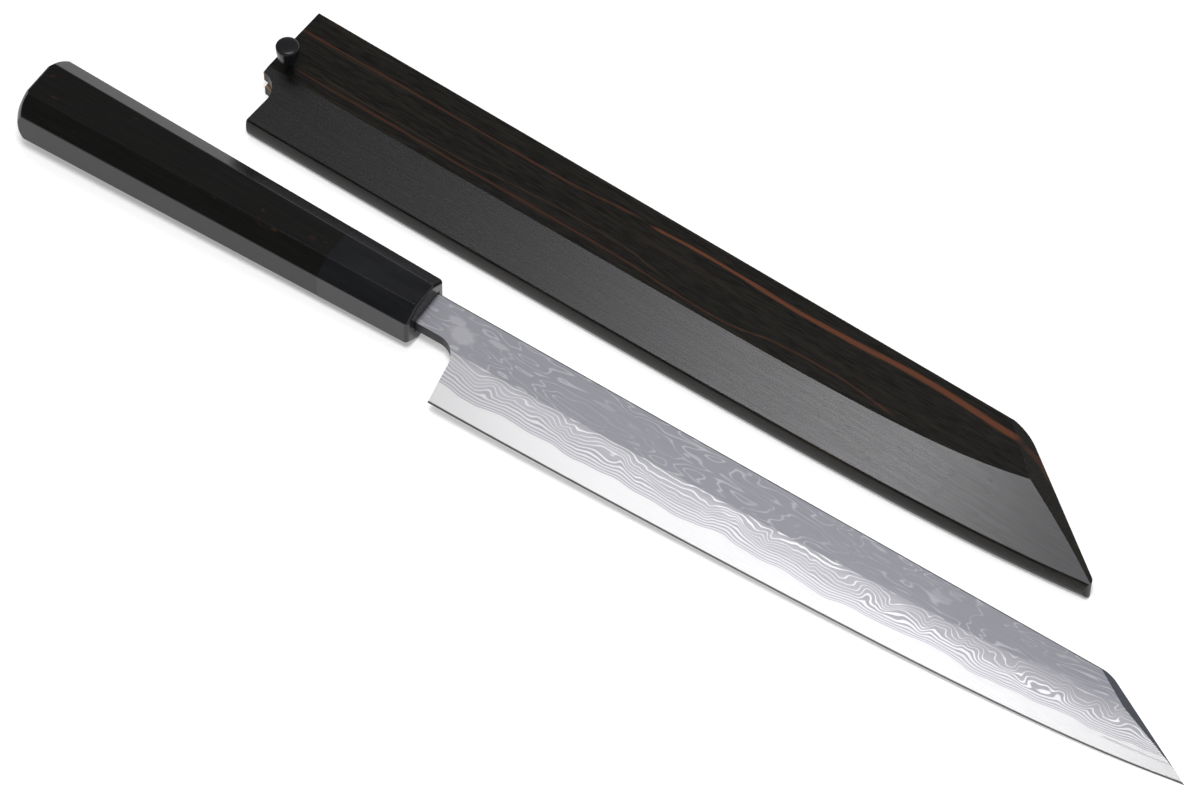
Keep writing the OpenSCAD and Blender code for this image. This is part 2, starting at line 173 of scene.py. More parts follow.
# %% [markdown]
# ## White paper that keeps its shadow
#
# Real paper is lit until it is just white, while the shadow beside the object stays grey. Here
# the paper is a pale grey that the lamps light almost to white, and a little glow is added for
# the camera and for reflections only, so it never lights the object. The glow rises with the
# distance, because the lamps reach less far than the real studio's walls. The camera sees a
# little more of it than the reflections do, which keeps the shadows as narrow as they are there.

# %% Paper
paper, tree, shader = start_finish("white_paper")
where = add(tree, "TexCoord").outputs["Object"]
grain = add(tree, "TexNoise", Vector=where, Scale=900.0, Detail=2.0).outputs["Fac"]
rays = add(tree, "LightPath")
seen = calc(tree, "MAXIMUM", rays.outputs["Is Camera Ray"], rays.outputs["Is Glossy Ray"])
far = add(tree, "VectorMath", Vector=where)
far.operation = "LENGTH"
glow = times(tree, seen, fade(tree, far.outputs["Value"], 0.05, 1.2, 0.20, 0.70))
glow = calc(tree, "ADD", glow, times(tree, rays.outputs["Is Camera Ray"], 0.08))
dress(tree, shader, Base_Color=blend(tree, grain, (0.80, 0.80, 0.80, 1), (0.84, 0.84, 0.84, 1)),
      Roughness=0.9, Specular_IOR_Level=0.1, Emission_Color=(1, 1, 1, 1), Emission_Strength=glow)
floor.data.materials.append(paper)
print("paper", len(tree.nodes), "nodes")

# %% [markdown]
# ## What the polish mirrors
#
# Black wood and etched steel look the way they do because of what they mirror. In the
# photograph the sides mirror a white table, the tops a dim ceiling, and the edges turned to the
# camera mirror a dark room. The world's strength therefore depends on the direction, but for
# mirrored rays only. Soft light comes evenly from all over it, at about a third of white.

# %% World
world = bpy.data.worlds.new("studio")
bpy.context.scene.world = world
world.use_nodes = True
tree = world.node_tree
rays = add(tree, "LightPath")
x, y, z = add(tree, "SeparateXYZ", Vector=add(tree, "TexCoord").outputs["Generated"]).outputs
mirrored = fade(tree, z, 0.25, 0.65, 1.0, 0.16)
dark_side = calc(tree, "MAXIMUM", fade(tree, y, -0.3, -0.7, 0.0, 0.78),
                 fade(tree, x, -0.5, -0.8, 0.0, 0.78))
dark_side = times(tree, dark_side, fade(tree, z, 0.02, 0.15))
mirrored = times(tree, mirrored, calc(tree, "SUBTRACT", 1.0, dark_side))
light = add(tree, "MapRange", Value=rays.outputs["Is Glossy Ray"], To_Min=0.30, To_Max=mirrored)
strength = calc(tree, "MAXIMUM", light.outputs[0], rays.outputs["Is Camera Ray"])
dress(tree, tree.nodes["Background"], Color=(1, 1, 1, 1), Strength=strength)
print("world", len(tree.nodes), "nodes")

# %% [markdown]
# ## Two lamps
#
# A small bank hangs behind the pieces. The bevels of the blade and of the sheath are turned so
# that they mirror it, and that gives the long grey sheen, which fades towards the mouth of the
# sheath. A second bank only fills: mirrored rays don't see it, so it whitens the paper and
# throws narrow shadows away from the camera without a second sheen.

# %% Lamps


def panel(name, place, look, wide, deep, watts):
    """A soft rectangular lamp that looks at a point."""
    turn = (Vector(look) - Vector(place)).to_track_quat("-Z", "Y").to_euler()
    bpy.ops.object.light_add(type="AREA", location=place, rotation=turn)
    lamp = bpy.context.object
    lamp.name = name
    lamp.data.shape = "RECTANGLE"
    lamp.data.size = wide
    lamp.data.size_y = deep
    lamp.data.energy = watts
    print(name, wide, "by", deep, "m,", watts, "W")
    return lamp


bank = panel("overhead_bank", (-0.15, 0.23, 1.5), (-0.05, 0.0, 0), 0.55, 0.42, 3.68)
bank.data.color = (0.98, 0.975, 1.0)
fill = panel("fill_bank", (0.2, -0.4, 1.55), (0.0, 0.0, 0), 0.42, 0.42, 17.5)
fill.visible_glossy = False

# %% [markdown]
# ## Hand tools
#
# The workshop tools of this lesson are Blender's own operators, wrapped so that they take
# millimetres: bars and rods from the rack, a saw that cuts along a plane, a grip that selects
# corners, edges or faces by their place, and a carving tool that is a Boolean modifier.

# %% Bar, rod, saw and grip


def release():
    """Back from edit mode to object mode."""
    bpy.ops.object.mode_set(mode="OBJECT")


def only(piece):
    """Selects one piece and nothing else."""
    if bpy.context.object and bpy.context.object.mode != "OBJECT":
        release()
    bpy.ops.object.select_all(action="DESELECT")
    piece.select_set(True)
    bpy.context.view_layer.objects.active = piece


def settle(piece):
    """Moves a piece's place, turn and scale into its mesh."""
    only(piece)
    bpy.ops.object.transform_apply(location=True, rotation=True, scale=True)


def metres(lengths):
    """Millimetres turned into metres."""
    return [length * MM for length in lengths]


def named(name):
    """Names the piece that was just added and settles it."""
    piece = bpy.context.object
    piece.name = name
    settle(piece)
    return piece


def bar(name, low, high):
    """A bar between two opposite corners."""
    low, high = Vector(low), Vector(high)
    bpy.ops.mesh.primitive_cube_add(size=MM, location=(low + high) / 2 * MM, scale=high - low)
    return named(name)


def rod(name, radius, length, middle, corners=48, lean=0.0):
    """A round rod that stands up, or leans over towards X by an angle."""
    bpy.ops.mesh.primitive_cylinder_add(vertices=corners, radius=radius * MM, depth=length * MM,
                                        location=metres(middle), rotation=(0, lean, 0))
    return named(name)


def saw(piece, point, normal, drop=False):
    """Cuts a piece along a plane. With drop, the side that the normal points to falls off."""
    only(piece)
    bpy.ops.object.mode_set(mode="EDIT")
    bpy.ops.mesh.select_all(action="SELECT")
    bpy.ops.mesh.bisect(plane_co=Vector(point) * MM, plane_no=Vector(normal).normalized(),
                        use_fill=drop, clear_outer=drop, threshold=2e-6)
    release()


def grip(piece, kind, test):
    """Opens a piece in edit mode with the parts selected whose middle and direction pass a test."""
    only(piece)
    bpy.ops.object.mode_set(mode="EDIT")
    bpy.ops.mesh.select_mode(type=kind)
    bpy.ops.mesh.select_all(action="DESELECT")
    shape = bmesh.from_edit_mesh(piece.data)
    if kind == "VERT":
        found = [(v, v.co, v.normal) for v in shape.verts]
    elif kind == "EDGE":
        found = [(e, (e.verts[0].co + e.verts[1].co) / 2, e.verts[1].co - e.verts[0].co)
                 for e in shape.edges]
    else:
        found = [(f, f.calc_center_median(), f.normal) for f in shape.faces]
    for part, middle, direction in found:
        if test(middle / MM, direction.normalized()):
            part.select_set(True)
    shape.select_flush_mode()
    bmesh.update_edit_mesh(piece.data)


def shift(piece, test, way):
    """Moves the corners that pass a test."""
    grip(piece, "VERT", test)
    bpy.ops.transform.translate(value=metres(way))
    release()


print("saw and grip ready")

# %% Carving and softening


def carve(piece, tool, how="DIFFERENCE"):
    """Cuts one piece with another, which is used up."""
    only(piece)
    bpy.ops.object.modifier_add(type="BOOLEAN")
    cutter = piece.modifiers[-1]
    cutter.operation = how
    cutter.solver = "EXACT"
    cutter.object = tool
    bpy.ops.object.modifier_apply(modifier=cutter.name)
    bpy.data.objects.remove(tool)


def soften(piece, test, width, steps=3):
    """Rounds the edges that pass a test."""
    grip(piece, "EDGE", test)
    bpy.ops.mesh.bevel(offset=width * MM, segments=steps, affect="EDGES")
    release()


def plane_round(piece, centre, radius, start, end, steps):
    """Planes a corner round: each thin cut is square to one direction out of the centre."""
    for i in range(1, steps):
        turn = math.radians(start + (end - start) * i / steps)
        out = Vector((math.cos(turn), math.sin(turn), 0))
        saw(piece, Vector((*centre, 0)) + out * radius, out, drop=True)


print("carving tools ready")

# %% Sawing to a pattern, copying and smoothing


def saw_stations(piece, start, end, count):
    """Saws a bar into equal lengths."""
    for i in range(1, count):
        saw(piece, (start + (end - start) * i / count, 0, 0), (1, 0, 0))


def saw_slant(piece, x, length, fall, radius, steps):
    """Saws an end off at a slant and planes the corner round. Gives the angle and its start."""
    angle = math.degrees(math.atan(fall / length))
    saw(piece, (x, 0, 0), (fall, length, 0), drop=True)
    curve_start = x - radius * math.tan(math.radians(angle / 2))
    plane_round(piece, (curve_start, -radius), radius, 90, 90 - angle, steps)
    return angle, curve_start


def saw_facet(piece, start, angle, end):
    """Saws a facet off along a line that leaves the start at an angle, down to an end."""
    turn = math.radians(angle)
    out = Vector((math.cos(turn), -math.sin(turn), 0)).cross(Vector(end) - Vector(start))
    saw(piece, start, out, drop=True)
    return out.normalized()


def copy_of(piece, name):
    """A second piece of the same form."""
    only(piece)
    bpy.ops.object.duplicate()
    bpy.context.object.name = name
    return bpy.context.object


def finish_mesh(piece, angle):
    """Normals out, smooth shading except where faces meet at more than an angle."""
    grip(piece, "FACE", lambda p, n: True)
    bpy.ops.mesh.normals_make_consistent(inside=False)
    release()
    bpy.ops.object.shade_smooth_by_angle(angle=math.radians(angle))
    bpy.ops.object.modifier_add(type="WEIGHTED_NORMAL")
    piece.modifiers[-1].keep_sharp = True
    bpy.ops.object.modifier_apply(modifier=piece.modifiers[-1].name)


print("patterns ready")

# %% [markdown]
# ## Handle
#
# The real handle is one piece of ebony with eight sides, thicker at the butt. It could be
# drawn as two octagons that are bridged. Here it is made as the joiner makes it: a bar is
# tapered and its four long corners are sawn off.

# %% Eight-sided bar
HANDLE_LEN, FERRULE_LEN, CROWN = 156, 35, 2.9


def height_at(x):
    return 21.2 - 6.4 * x / HANDLE_LEN


def thickness_at(x):
    return 19.4 - 2.8 * x / HANDLE_LEN


def chamfer_at(x):
    return 5.8 - 0.6 * x / HANDLE_LEN


def eight_sided(name, back, front):
    """A tapered bar with its four long corners sawn off."""
    high, thick = height_at(back) / 2, thickness_at(back) / 2
    piece = bar(name, (back, -high, -thick), (front, high, thick))
    grip(piece, "VERT", lambda p, n: p.x > (back + front) / 2)
    narrow = (1, height_at(front) / height_at(back), thickness_at(front) / thickness_at(back))
    bpy.ops.transform.resize(value=narrow, center_override=(front * MM, 0, 0))
    release()
    slope = math.tan(math.radians(37))
    for up in (-1, 1):
        for over in (-1, 1):
            ends = [Vector((x, up * height_at(x) / 2,
                            over * (thickness_at(x) / 2 - chamfer_at(x) * slope)))
                    for x in (back, front)]
            out = (ends[1] - ends[0]).cross(Vector((0, -up, over * slope)))
            saw(piece, ends[0], out * (1 if out.y * up > 0 else -1), drop=True)
    return piece


print("butt", round(height_at(-HANDLE_LEN), 1), "by", round(thickness_at(-HANDLE_LEN), 1), "mm")

# %% [markdown]
# ## Crowned butt
#
# The butt is rounded over at its rim and softly crowned. Insets that step outwards follow the
# octagon ring by ring, which a plain bevel can't do. Real sanding also eats the eight corners
# further back than the faces, so the bar is then trimmed by a rounded bullet that it fits into.
# Carving with INTERSECT keeps what lies inside both.

# %% Ebony handle


def round_rim(inward, outward):
    """Six insets of the gripped face that follow a quarter of an oval."""
    for i in range(6):
        now, then = math.pi / 12 * i, math.pi / 12 * (i + 1)
        bpy.ops.mesh.inset(thickness=inward * (math.cos(now) - math.cos(then)) * MM,
                           depth=outward * (math.sin(then) - math.sin(now)) * MM,
                           use_even_offset=True)


def round_corners(piece, width):
    """A Bevel modifier that rounds every edge sharper than 24 degrees."""
    only(piece)
    bpy.ops.object.modifier_add(type="BEVEL")
    rounder = piece.modifiers[-1]
    rounder.width = width * MM
    rounder.segments = 3
    rounder.limit_method = "ANGLE"
    rounder.angle_limit = math.radians(24)
    bpy.ops.object.modifier_apply(modifier=rounder.name)


def bore(piece, back, front):
    """Drills the hole for the dowel along the middle of a piece."""
    carve(piece, rod("bore", 6.6, front - back, ((back + front) / 2, 0, 0), lean=math.pi / 2))


handle = eight_sided("ebony_handle", CROWN - HANDLE_LEN, 1 - FERRULE_LEN)
grip(handle, "FACE", lambda p, n: n.x < -0.9)
round_rim(1.7, 1.8)
for inward, outward in ((1.6, 0.45), (2.2, 0.35), (2.6, 0.2), (2.0, 0.06)):
    bpy.ops.mesh.inset(thickness=inward * MM, depth=outward * MM, use_even_offset=True)
release()
round_corners(handle, 0.4)
saw(handle, (-FERRULE_LEN, 0, 0), (1, 0, 0), drop=True)
BULLET_X = 7 - HANDLE_LEN
bpy.ops.mesh.primitive_uv_sphere_add(segments=96, ring_count=64, radius=MM,
                                     scale=(14.5, 16.1, 9.2), rotation=(0, math.pi / 2, 0),
                                     location=metres((BULLET_X, 0, 0)))
bullet = named("bullet")
shift(bullet, lambda p, n: p.x > BULLET_X + 0.1, (150, 0, 0))
carve(handle, bullet, "INTERSECT")
bore(handle, -110.1, 0)
print("handle from", round(min(v.co.x for v in handle.data.vertices) / MM, 2))

# %% [markdown]
# ## Ferrule
#
# The ferrule is buffalo horn, flush with the handle and of the same taper. It is cut from a
# second eight-sided bar, so that the two faces agree at the joint, and then drilled for the
# wooden dowel. Its front edge is rounded by six insets that follow a quarter circle.

# %% Horn ferrule
ferrule = eight_sided("horn_ferrule", -1 - FERRULE_LEN, -1.6)
grip(ferrule, "FACE", lambda p, n: n.x > 0.9)
round_rim(1.6, 1.6)
release()
round_corners(ferrule, 0.3)
saw(ferrule, (-FERRULE_LEN, 0, 0), (-1, 0, 0), drop=True)
bore(ferrule, -46, -6)
carve(ferrule, bar("mouth", (-7, -6.7, -3), (5, 7.9, 3)))
print("ferrule to", round(max(v.co.x for v in ferrule.data.vertices) / MM, 2))

# %% [markdown]
# ## Blade
#
# The real blade is forged flat on its back and ground on one side only: a flat next to the
# spine, a wide bevel down to the edge, and a slanted facet at the point. The back is slightly
# hollow. The bar is sawn into stations along its length and rows across, and each corner
# is then moved onto the curves of the real section.

# %% Curves of the blade
NECK_X, HEEL_X, POINT_X, TIP_X = -4, 18.9, 251.6, 288.9
HEEL_Y, TIP_Y = -34.4, -20.3


def clamp(value):
    return min(1, max(0, value))


def along_edge(x):
    """How far a place is from the heel to the tip, from 0 to 1."""
    return clamp((x - HEEL_X) / (TIP_X - HEEL_X))


def edge_y(x):
    u = along_edge(x)
    return HEEL_Y + (TIP_Y - HEEL_Y) * (0.58 * u ** 1.5 + 0.42 * u ** 7)


def shoulder_y(x):
    return edge_y(x) + 18.4 - 1.8 * along_edge(x)


def spine_at(x):
    return 4.8 - 2.4 * x / POINT_X


print("blade at the heel", round(-edge_y(HEEL_X), 1), "mm high,",
      round(spine_at(HEEL_X), 1), "mm thick")

# %% [markdown]
# ## Hollow back and ground bevel
#
# The back of the blade is ground slightly hollow, so that it lies on two narrow strips and cuts
# without sticking. A Boolean with a large cylinder could cut it. Moving the corners of a sawn
# bar is exact to a hundredth of a millimetre and leaves even faces, which shade better.

# %% Place of each corner


def hollow_at(x, y):
    """Height of the hollow back above the flat that the blade rests on."""
    start = HEEL_X + 6
    deep = max(0.05, min((x - start) / 18, 1, (POINT_X - x) / (POINT_X - start)))
    middle = edge_y(x) / 2
    off = (y - middle) / (middle * 24 / HEEL_Y)
    return max(0, 0.4 * deep * (1 - off * off))


def blade_place(corner):
    """Where a corner of the sawn bar belongs. Rows lie 4 mm apart in the bar."""
    x, row = corner.x, round(-corner.y / 4)
    if row <= 4:
        y = shoulder_y(x) * row / 4
        top = spine_at(x) * (1 - 0.06 * row / 4)
    else:
        share = (row - 4) / 4
        y = shoulder_y(x) + (edge_y(x) - shoulder_y(x)) * share
        top = 0.94 * spine_at(x) + (0.1 - 0.94 * spine_at(x)) * share
    return Vector((x, y, top if corner.z > 2 else hollow_at(x, y)))


def move_corners(piece, place):
    """Moves every corner of a sawn bar to its place on the real form."""
    grip(piece, "VERT", lambda p, n: False)
    shape = bmesh.from_edit_mesh(piece.data)
    for corner in shape.verts:
        corner.select_set(True)
        bpy.ops.transform.translate(value=place(corner.co / MM) * MM - corner.co)
        corner.select_set(False)
    release()


# %% Blank of the blade
BLANK_END = TIP_X + 1
blade = bar("blade_clad", (NECK_X, -32, 0), (BLANK_END, 0, 4))
saw_stations(blade, NECK_X, BLANK_END, 54)
for i in range(1, 8):
    saw(blade, (0, -4 * i, 0), (0, 1, 0))
move_corners(blade, blade_place)
soften(blade, lambda p, d: p.y > -0.01 and p.z > 1 and abs(d.x) > 0.9, 0.25, 2)
print("blank", len(blade.data.vertices), "corners")

# %% [markdown]
# ## Point and heel
#
# A yanagiba of this kind has a point like a sword's: the spine turns down in a short curve, and
# a third, slanted facet runs to the tip. The curve is planed with eight thin cuts, each square
# to one direction, as a smith would file it. The heel and the throat under the neck are carved
# by a block with one rounded corner.

# %% Point, facet and heel
POINT_LEN = TIP_X - POINT_X
point_angle, curve_start = saw_slant(blade, POINT_X, POINT_LEN, -TIP_Y, 12, 9)
facet_x = curve_start - 1
facet_out = saw_facet(blade, (facet_x, 0, spine_at(facet_x)), 36, (TIP_X, TIP_Y, 0.3))
choil = bar("choil", (-10, -60, -5), (17.5, -13.4, 10))
soften(choil, lambda p, d: abs(d.z) > 0.9 and p.x > 17 and p.y > -14, 8, 18)
shift(choil, lambda p, n: p.x > 17 and p.y < -50, (4.157, 0, 0))
carve(blade, choil)
print("point angle", round(point_angle, 1), "degrees")

# %% [markdown]
# ## Two steels
#
# The real blade is hard steel with soft layered iron welded over it, and the edge of the iron
# wanders along the bevel as a wavy line. The solid pieces are split by one plane inside the
# blade, so each is a closed body of its own. The wavy line that the eye sees is drawn later, in
# the finish. The tang that runs into the handle is joined to the cladding.

# %% Steel and cladding
steel = copy_of(blade, "blade_steel")


def steel_zone():
    """Everything below the plane that falls from heel to tip."""
    zone = bar("zone", (HEEL_X - 8, -40, -2), (TIP_X + 2, 2, 1.9))
    shift(zone, lambda p, n: p.x > 200 and p.z > 0, (0, 0, -1.3))
    return zone


carve(blade, steel_zone())
carve(steel, steel_zone(), "INTERSECT")
tang = bar("tang", (-98, -12.1, 0.7), (NECK_X, -2.5, 4.1))
grip(tang, "VERT", lambda p, n: p.x < -50)
bpy.ops.transform.resize(value=(1, 5 / 9.6, 1), center_override=(-98 * MM, -7.3 * MM, 0))
release()
only(blade)
tang.select_set(True)
bpy.ops.object.join()
print("cladding", len(blade.data.polygons), "steel", len(steel.data.polygons))

# %% [markdown]
# ## Sheath
#
# The real sheath is two halves of ebony glued over a carved slot. Its top is flat, its edge
# side is planed down from a ridge, and its end is slanted like the blade. Two separate bars
# would have to be fitted to each other, so both halves start as one bar.

# %% Curves of the sheath
SHEATH_LEN, SLANT_X = 334.54, 284.54
THICK, SIDE_TOP, ARRIS, GLUE_Z = 12.5, 9, 0.7, 4
MOUTH_Y, NOSE_Y = -48.4, -36.5


def low_y(x):
    u = clamp(x / SHEATH_LEN)
    return MOUTH_Y + (NOSE_Y - MOUTH_Y) * (0.46 * u ** 1.3 + 0.54 * u ** 7)


def ridge_y(x):
    u = clamp(x / SHEATH_LEN)
    return min(-3, 4.4 * u ** 1.3 + 28 * u ** 10 - 27.9)


def sheath_place(corner):
    """Where a corner of the sawn bar belongs."""
    x, y, z = corner
    if y > -1:
        return Vector((x, 0, z))
    if y > -30:
        return Vector((x, ridge_y(x), z))
    z = min(z, SIDE_TOP)
    off = 2 * z / SIDE_TOP - 1
    swell = 1 + 0.5 * clamp(x / SHEATH_LEN) ** 4
    arris = ARRIS - math.sqrt(ARRIS ** 2 - max(0, z - SIDE_TOP + ARRIS) ** 2)
    if off > 0:
        return Vector((x, low_y(x) + swell * 0.5 * off ** 2 + arris, z))
    return Vector((x, low_y(x) + swell * (off ** 2 + off ** 6), z))


print("sheath", -low_y(0), "mm wide at the mouth")

# %% [markdown]
# ## Blank of the sheath
#
# The bar is sawn into stations and into layers, and its corners are moved to the real section:
# a ridge, a planed bevel, a rounded arris of 0.7 mm, and a side that bulges a little and turns
# under at the bottom. The arris gets its own close layers, because a dark line along it is one
# of the first things that the photograph shows.

# %% Blank of the sheath
sheath = bar("saya_front", (0, -48, 0), (336, 0, THICK))
saw_stations(sheath, 0, 336, 48)
saw(sheath, (0, -24, 0), (0, 1, 0))
for height in [0.75 * i for i in range(1, 11)] + [8.1, 8.3, 8.51, 8.65, 8.78, 8.88, 8.95, 8.98]:
    saw(sheath, (0, 0, height), (0, 0, 1))
move_corners(sheath, sheath_place)
soften(sheath, lambda p, d: p.y > -0.1 and (p.z < 0.1 or p.z > 12.4) and abs(d.x) > 0.9, 0.6)
slant, curve_start = saw_slant(sheath, SLANT_X, SHEATH_LEN - SLANT_X, -NOSE_Y, 20, 12)
print("sheath blank", len(sheath.data.vertices), "corners, slant", round(slant, 1), "degrees")

# %% Nose and facet of the sheath
NOSE_RADIUS = 2.4
low_angle = math.degrees(math.atan(low_y(SHEATH_LEN) - low_y(SHEATH_LEN - 1)))
nose_half = math.radians((slant + low_angle) / 2)
nose_turn = math.radians(low_angle) - nose_half
nose_back = NOSE_RADIUS / math.sin(nose_half)
nose = (SHEATH_LEN - nose_back * math.cos(nose_turn), NOSE_Y - nose_back * math.sin(nose_turn))
plane_round(sheath, nose, NOSE_RADIUS, low_angle - 90, 90 - slant, 13)
for back, down in ((2.4, 0.6), (3.4, 1.3)):
    saw(sheath, (SHEATH_LEN - back, NOSE_Y - 0.1, 0), (1, -0.15, -down), drop=True)
saw_facet(sheath, (SLANT_X - 7, 0, THICK), 42, (SHEATH_LEN, NOSE_Y, SIDE_TOP - ARRIS))
print("sheath with its nose", len(sheath.data.vertices), "corners")

# %% [markdown]
# ## Mouth
#
# The lower half of the mouth is cut back at a slant, and a round notch takes the neck of the
# blade. The hole for the locking pin goes through both halves at once, so it lines up.

# %% Mouth, notch and hole for the pin
NOTCH_Y, NOTCH_RADIUS = -37.8, 7.2
PIN_X, PIN_Y = 7.1, -25.65
mouth_cut = bar("mouth_cut", (-5, -70, -5), (NOTCH_RADIUS, NOTCH_Y, 20))
shift(mouth_cut, lambda p, n: p.x > 5 and p.y < -50, (-1.2 * 32.2 / 10.6, 0, 0))
carve(sheath, mouth_cut)
carve(sheath, rod("notch", NOTCH_RADIUS, 60, (0, NOTCH_Y, 0), 96))
carve(sheath, rod("pin_hole", 1.6, 60, (PIN_X, PIN_Y, 0)))
print("mouth cut,", len(sheath.data.polygons), "faces")

# %% [markdown]
# ## Two halves and the slot
#
# Now the bar is sawn apart at the glue line. The slot is carved into the front half only, with
# a tool that has the blade's own section and half a millimetre of play all round.

# %% Halves and the room for the blade
MOUTH_X, ROOM_Y, PLAY = 7.3601, 7.5, 0.5
back_half = copy_of(sheath, "saya_back")
saw(back_half, (0, 0, GLUE_Z), (0, 0, 1), drop=True)
saw(sheath, (0, 0, GLUE_Z), (0, 0, -1), drop=True)


def room_place(corner):
    """Section of the slot: the section of the blade with a little play."""
    x, row = corner.x, round(-corner.y / 10)
    y = (PLAY, shoulder_y(x) - PLAY, edge_y(x) - PLAY)[row]
    return Vector((x, y, 0 if corner.z < 2 else (5.2, 5.2, 0.9)[row]))


room = bar("room", (-1, -20, 0), (BLANK_END, 0, 4))
saw_stations(room, -1, BLANK_END, 30)
saw(room, (0, -10, 0), (0, 1, 0))
move_corners(room, room_place)
saw(room, (POINT_X + 1, PLAY, 0), (PLAY - TIP_Y, POINT_LEN, 0), drop=True)
room.location = Vector((-MOUTH_X, -ROOM_Y, GLUE_Z)) * MM
settle(room)
shift(room, lambda p, n: p.z < GLUE_Z + 0.1, (0, 0, -1))
carve(sheath, room)
print("halves", len(sheath.data.polygons), len(back_half.data.polygons))

# %% [markdown]
# ## Sheath pin
#
# The real pin is turned on a lathe: a thin shank and a head that flares like a trumpet. It
# starts as a cylinder whose top face is extruded and widened step by step. The last steps are
# insets that round the rim and dome the top.

# %% Turned pin
SHANK = 1.55
pin = rod("saya_pin", SHANK, 16.7, (0, 0, 9.15), 64)
grip(pin, "FACE", lambda p, n: n.z > 0.9)
radius, height = SHANK, 0.0
for i in range(1, 17):
    turn = math.pi / 2 * i / 17
    wide, up = SHANK + 2.4 * math.sin(turn), 8.7 * (1 - math.cos(turn))
    bpy.ops.mesh.extrude_region_move(TRANSFORM_OT_translate={"value": (0, 0, (up - height) * MM)})
    bpy.ops.transform.resize(value=(wide / radius, wide / radius, 1),
                             center_override=(0, 0, (17.5 + up) * MM))
    radius, height = wide, up
for inward, up in ((0.0, 0.75), (0.06, 0.2), (0.14, 0.12), (0.3, 0.12), (0.6, 0.12), (0.9, 0.08),
                   (0.9, 0.04)):
    bpy.ops.mesh.inset(thickness=max(inward, 0.001) * MM, depth=up * MM)
release()
pin.location = metres((PIN_X, PIN_Y, 0))
settle(pin)
print("pin", [round(size / MM, 1) for size in pin.dimensions], "mm")

# %% [markdown]
# ## Shading
#
# Flat faces must stay crisp and curves must run smooth. Shade-smooth-by-angle keeps the edges
# that are sharper than an angle, and weighted normals let the large faces rule the small ones.
# Each piece gets the angle that lies between its facets and its real edges.

# %% Smooth what is round
for piece, angle in ((handle, 12), (ferrule, 20), (blade, 7), (steel, 7), (sheath, 7.5),
                     (back_half, 7.5), (pin, 35)):
    finish_mesh(piece, angle)
print("meshes finished")

# %% [markdown]
# ## Patterns in a piece's own axes
#
# Wood grain and steel layers run along a piece, not along the room. The finishes therefore
# read Object coordinates that are turned back into the piece's own axes and measured in
# millimetres. A noise that is stretched along the piece is grain; its size can be written down
# straight from a ruler held against the photograph.

# %% Coordinates in a piece's own axes


def own_axes(tree, axes):
    """Object coordinates turned into a piece's own axes, in millimetres."""
    where = add(tree, "TexCoord").outputs["Object"]
    turned = add(tree, "Mapping", Vector=where, Location=axes.to_translation(),
                 Rotation=axes.to_euler(), Scale=(MM, MM, MM))
    turned.vector_type = "TEXTURE"
    return turned.outputs[0]


def stretch(tree, where, size):
    """Divides each direction by a length: a pattern is then that long in it."""
    made = add(tree, "VectorMath", Vector=where)
    made.operation = "MULTIPLY"
    made.inputs[1].default_value = [1 / length for length in size]
    return made.outputs[0]


def noise(tree, where, size, detail=2.0, rough=0.5, twist=0.0):
    """Cloudy numbers round one half, with clouds of about a size in millimetres."""
    return add(tree, "TexNoise", Vector=stretch(tree, where, size), Scale=1.0, Detail=detail,
               Roughness=rough, Distortion=twist).outputs["Fac"]


def bump(tree, height, depth):
    """A normal that raises the surface by a pattern, in millimetres."""
    return add(tree, "Bump", Height=height, Distance=depth * MM).outputs[0]


def speckle(name, axes, size, detail, dark, light, **inputs):
    """A plain finish: a stretched noise mixes two colours."""
    material, tree, shader = start_finish(name)
    fine = noise(tree, own_axes(tree, axes), size, detail)
    dress(tree, shader, Base_Color=blend(tree, fine, (*dark, 1), (*light, 1)), **inputs)
    print(name, len(tree.nodes), "nodes")
    return material


print("pattern helpers ready")

# %% [markdown]
# ## Ebony and horn
#
# Polished ebony is almost black. What tells it from plastic is a fine grain in the polish and a
# few dim brown flecks, gathered in clouds, not spread evenly. The horn has no fibre: it is a
# touch bluer and glossier, with faint cloudy depth. An image of wood could be wrapped round,
# but it would stretch over the chamfers; noise in space runs through the solid, as grain does.

# %% Ebony
ebony, tree, shader = start_finish("ebony")
where = own_axes(tree, KNIFE)
grain = noise(tree, where, (22, 0.7, 0.7), 5.0, 0.6)
dark = blend(tree, grain, (0.0038, 0.0038, 0.0036, 1), (0.0092, 0.009, 0.0085, 1))
spots = noise(tree, where, (5, 2.6, 2.6), 1.0)
clouds = fade(tree, noise(tree, where, (30, 9, 9)), 0.5, 0.6)
brown = times(tree, fade(tree, spots, 0.66, 0.80, 0.0, 0.5), clouds)
dress(tree, shader, Base_Color=blend(tree, brown, dark, (0.05, 0.022, 0.012, 1)),
      Roughness=fade(tree, grain, 0.3, 0.7, 0.17, 0.25), Specular_IOR_Level=0.3,
      Normal=bump(tree, grain, 0.006))
print("ebony", len(tree.nodes), "nodes")

# %% Horn
horn, tree, shader = start_finish("horn")
where = own_axes(tree, KNIFE)
cloud = noise(tree, where, (30, 5, 5), 3.0)
streaks = noise(tree, where, (8, 0.5, 0.5), 3.0)
dress(tree, shader,
      Base_Color=blend(tree, cloud, (0.004, 0.0042, 0.005, 1), (0.014, 0.0145, 0.017, 1)),
      Roughness=fade(tree, cloud, 0.3, 0.7, 0.16, 0.24), Specular_IOR_Level=0.4,
      Normal=bump(tree, streaks, 0.006))
print("horn", len(tree.nodes), "nodes")

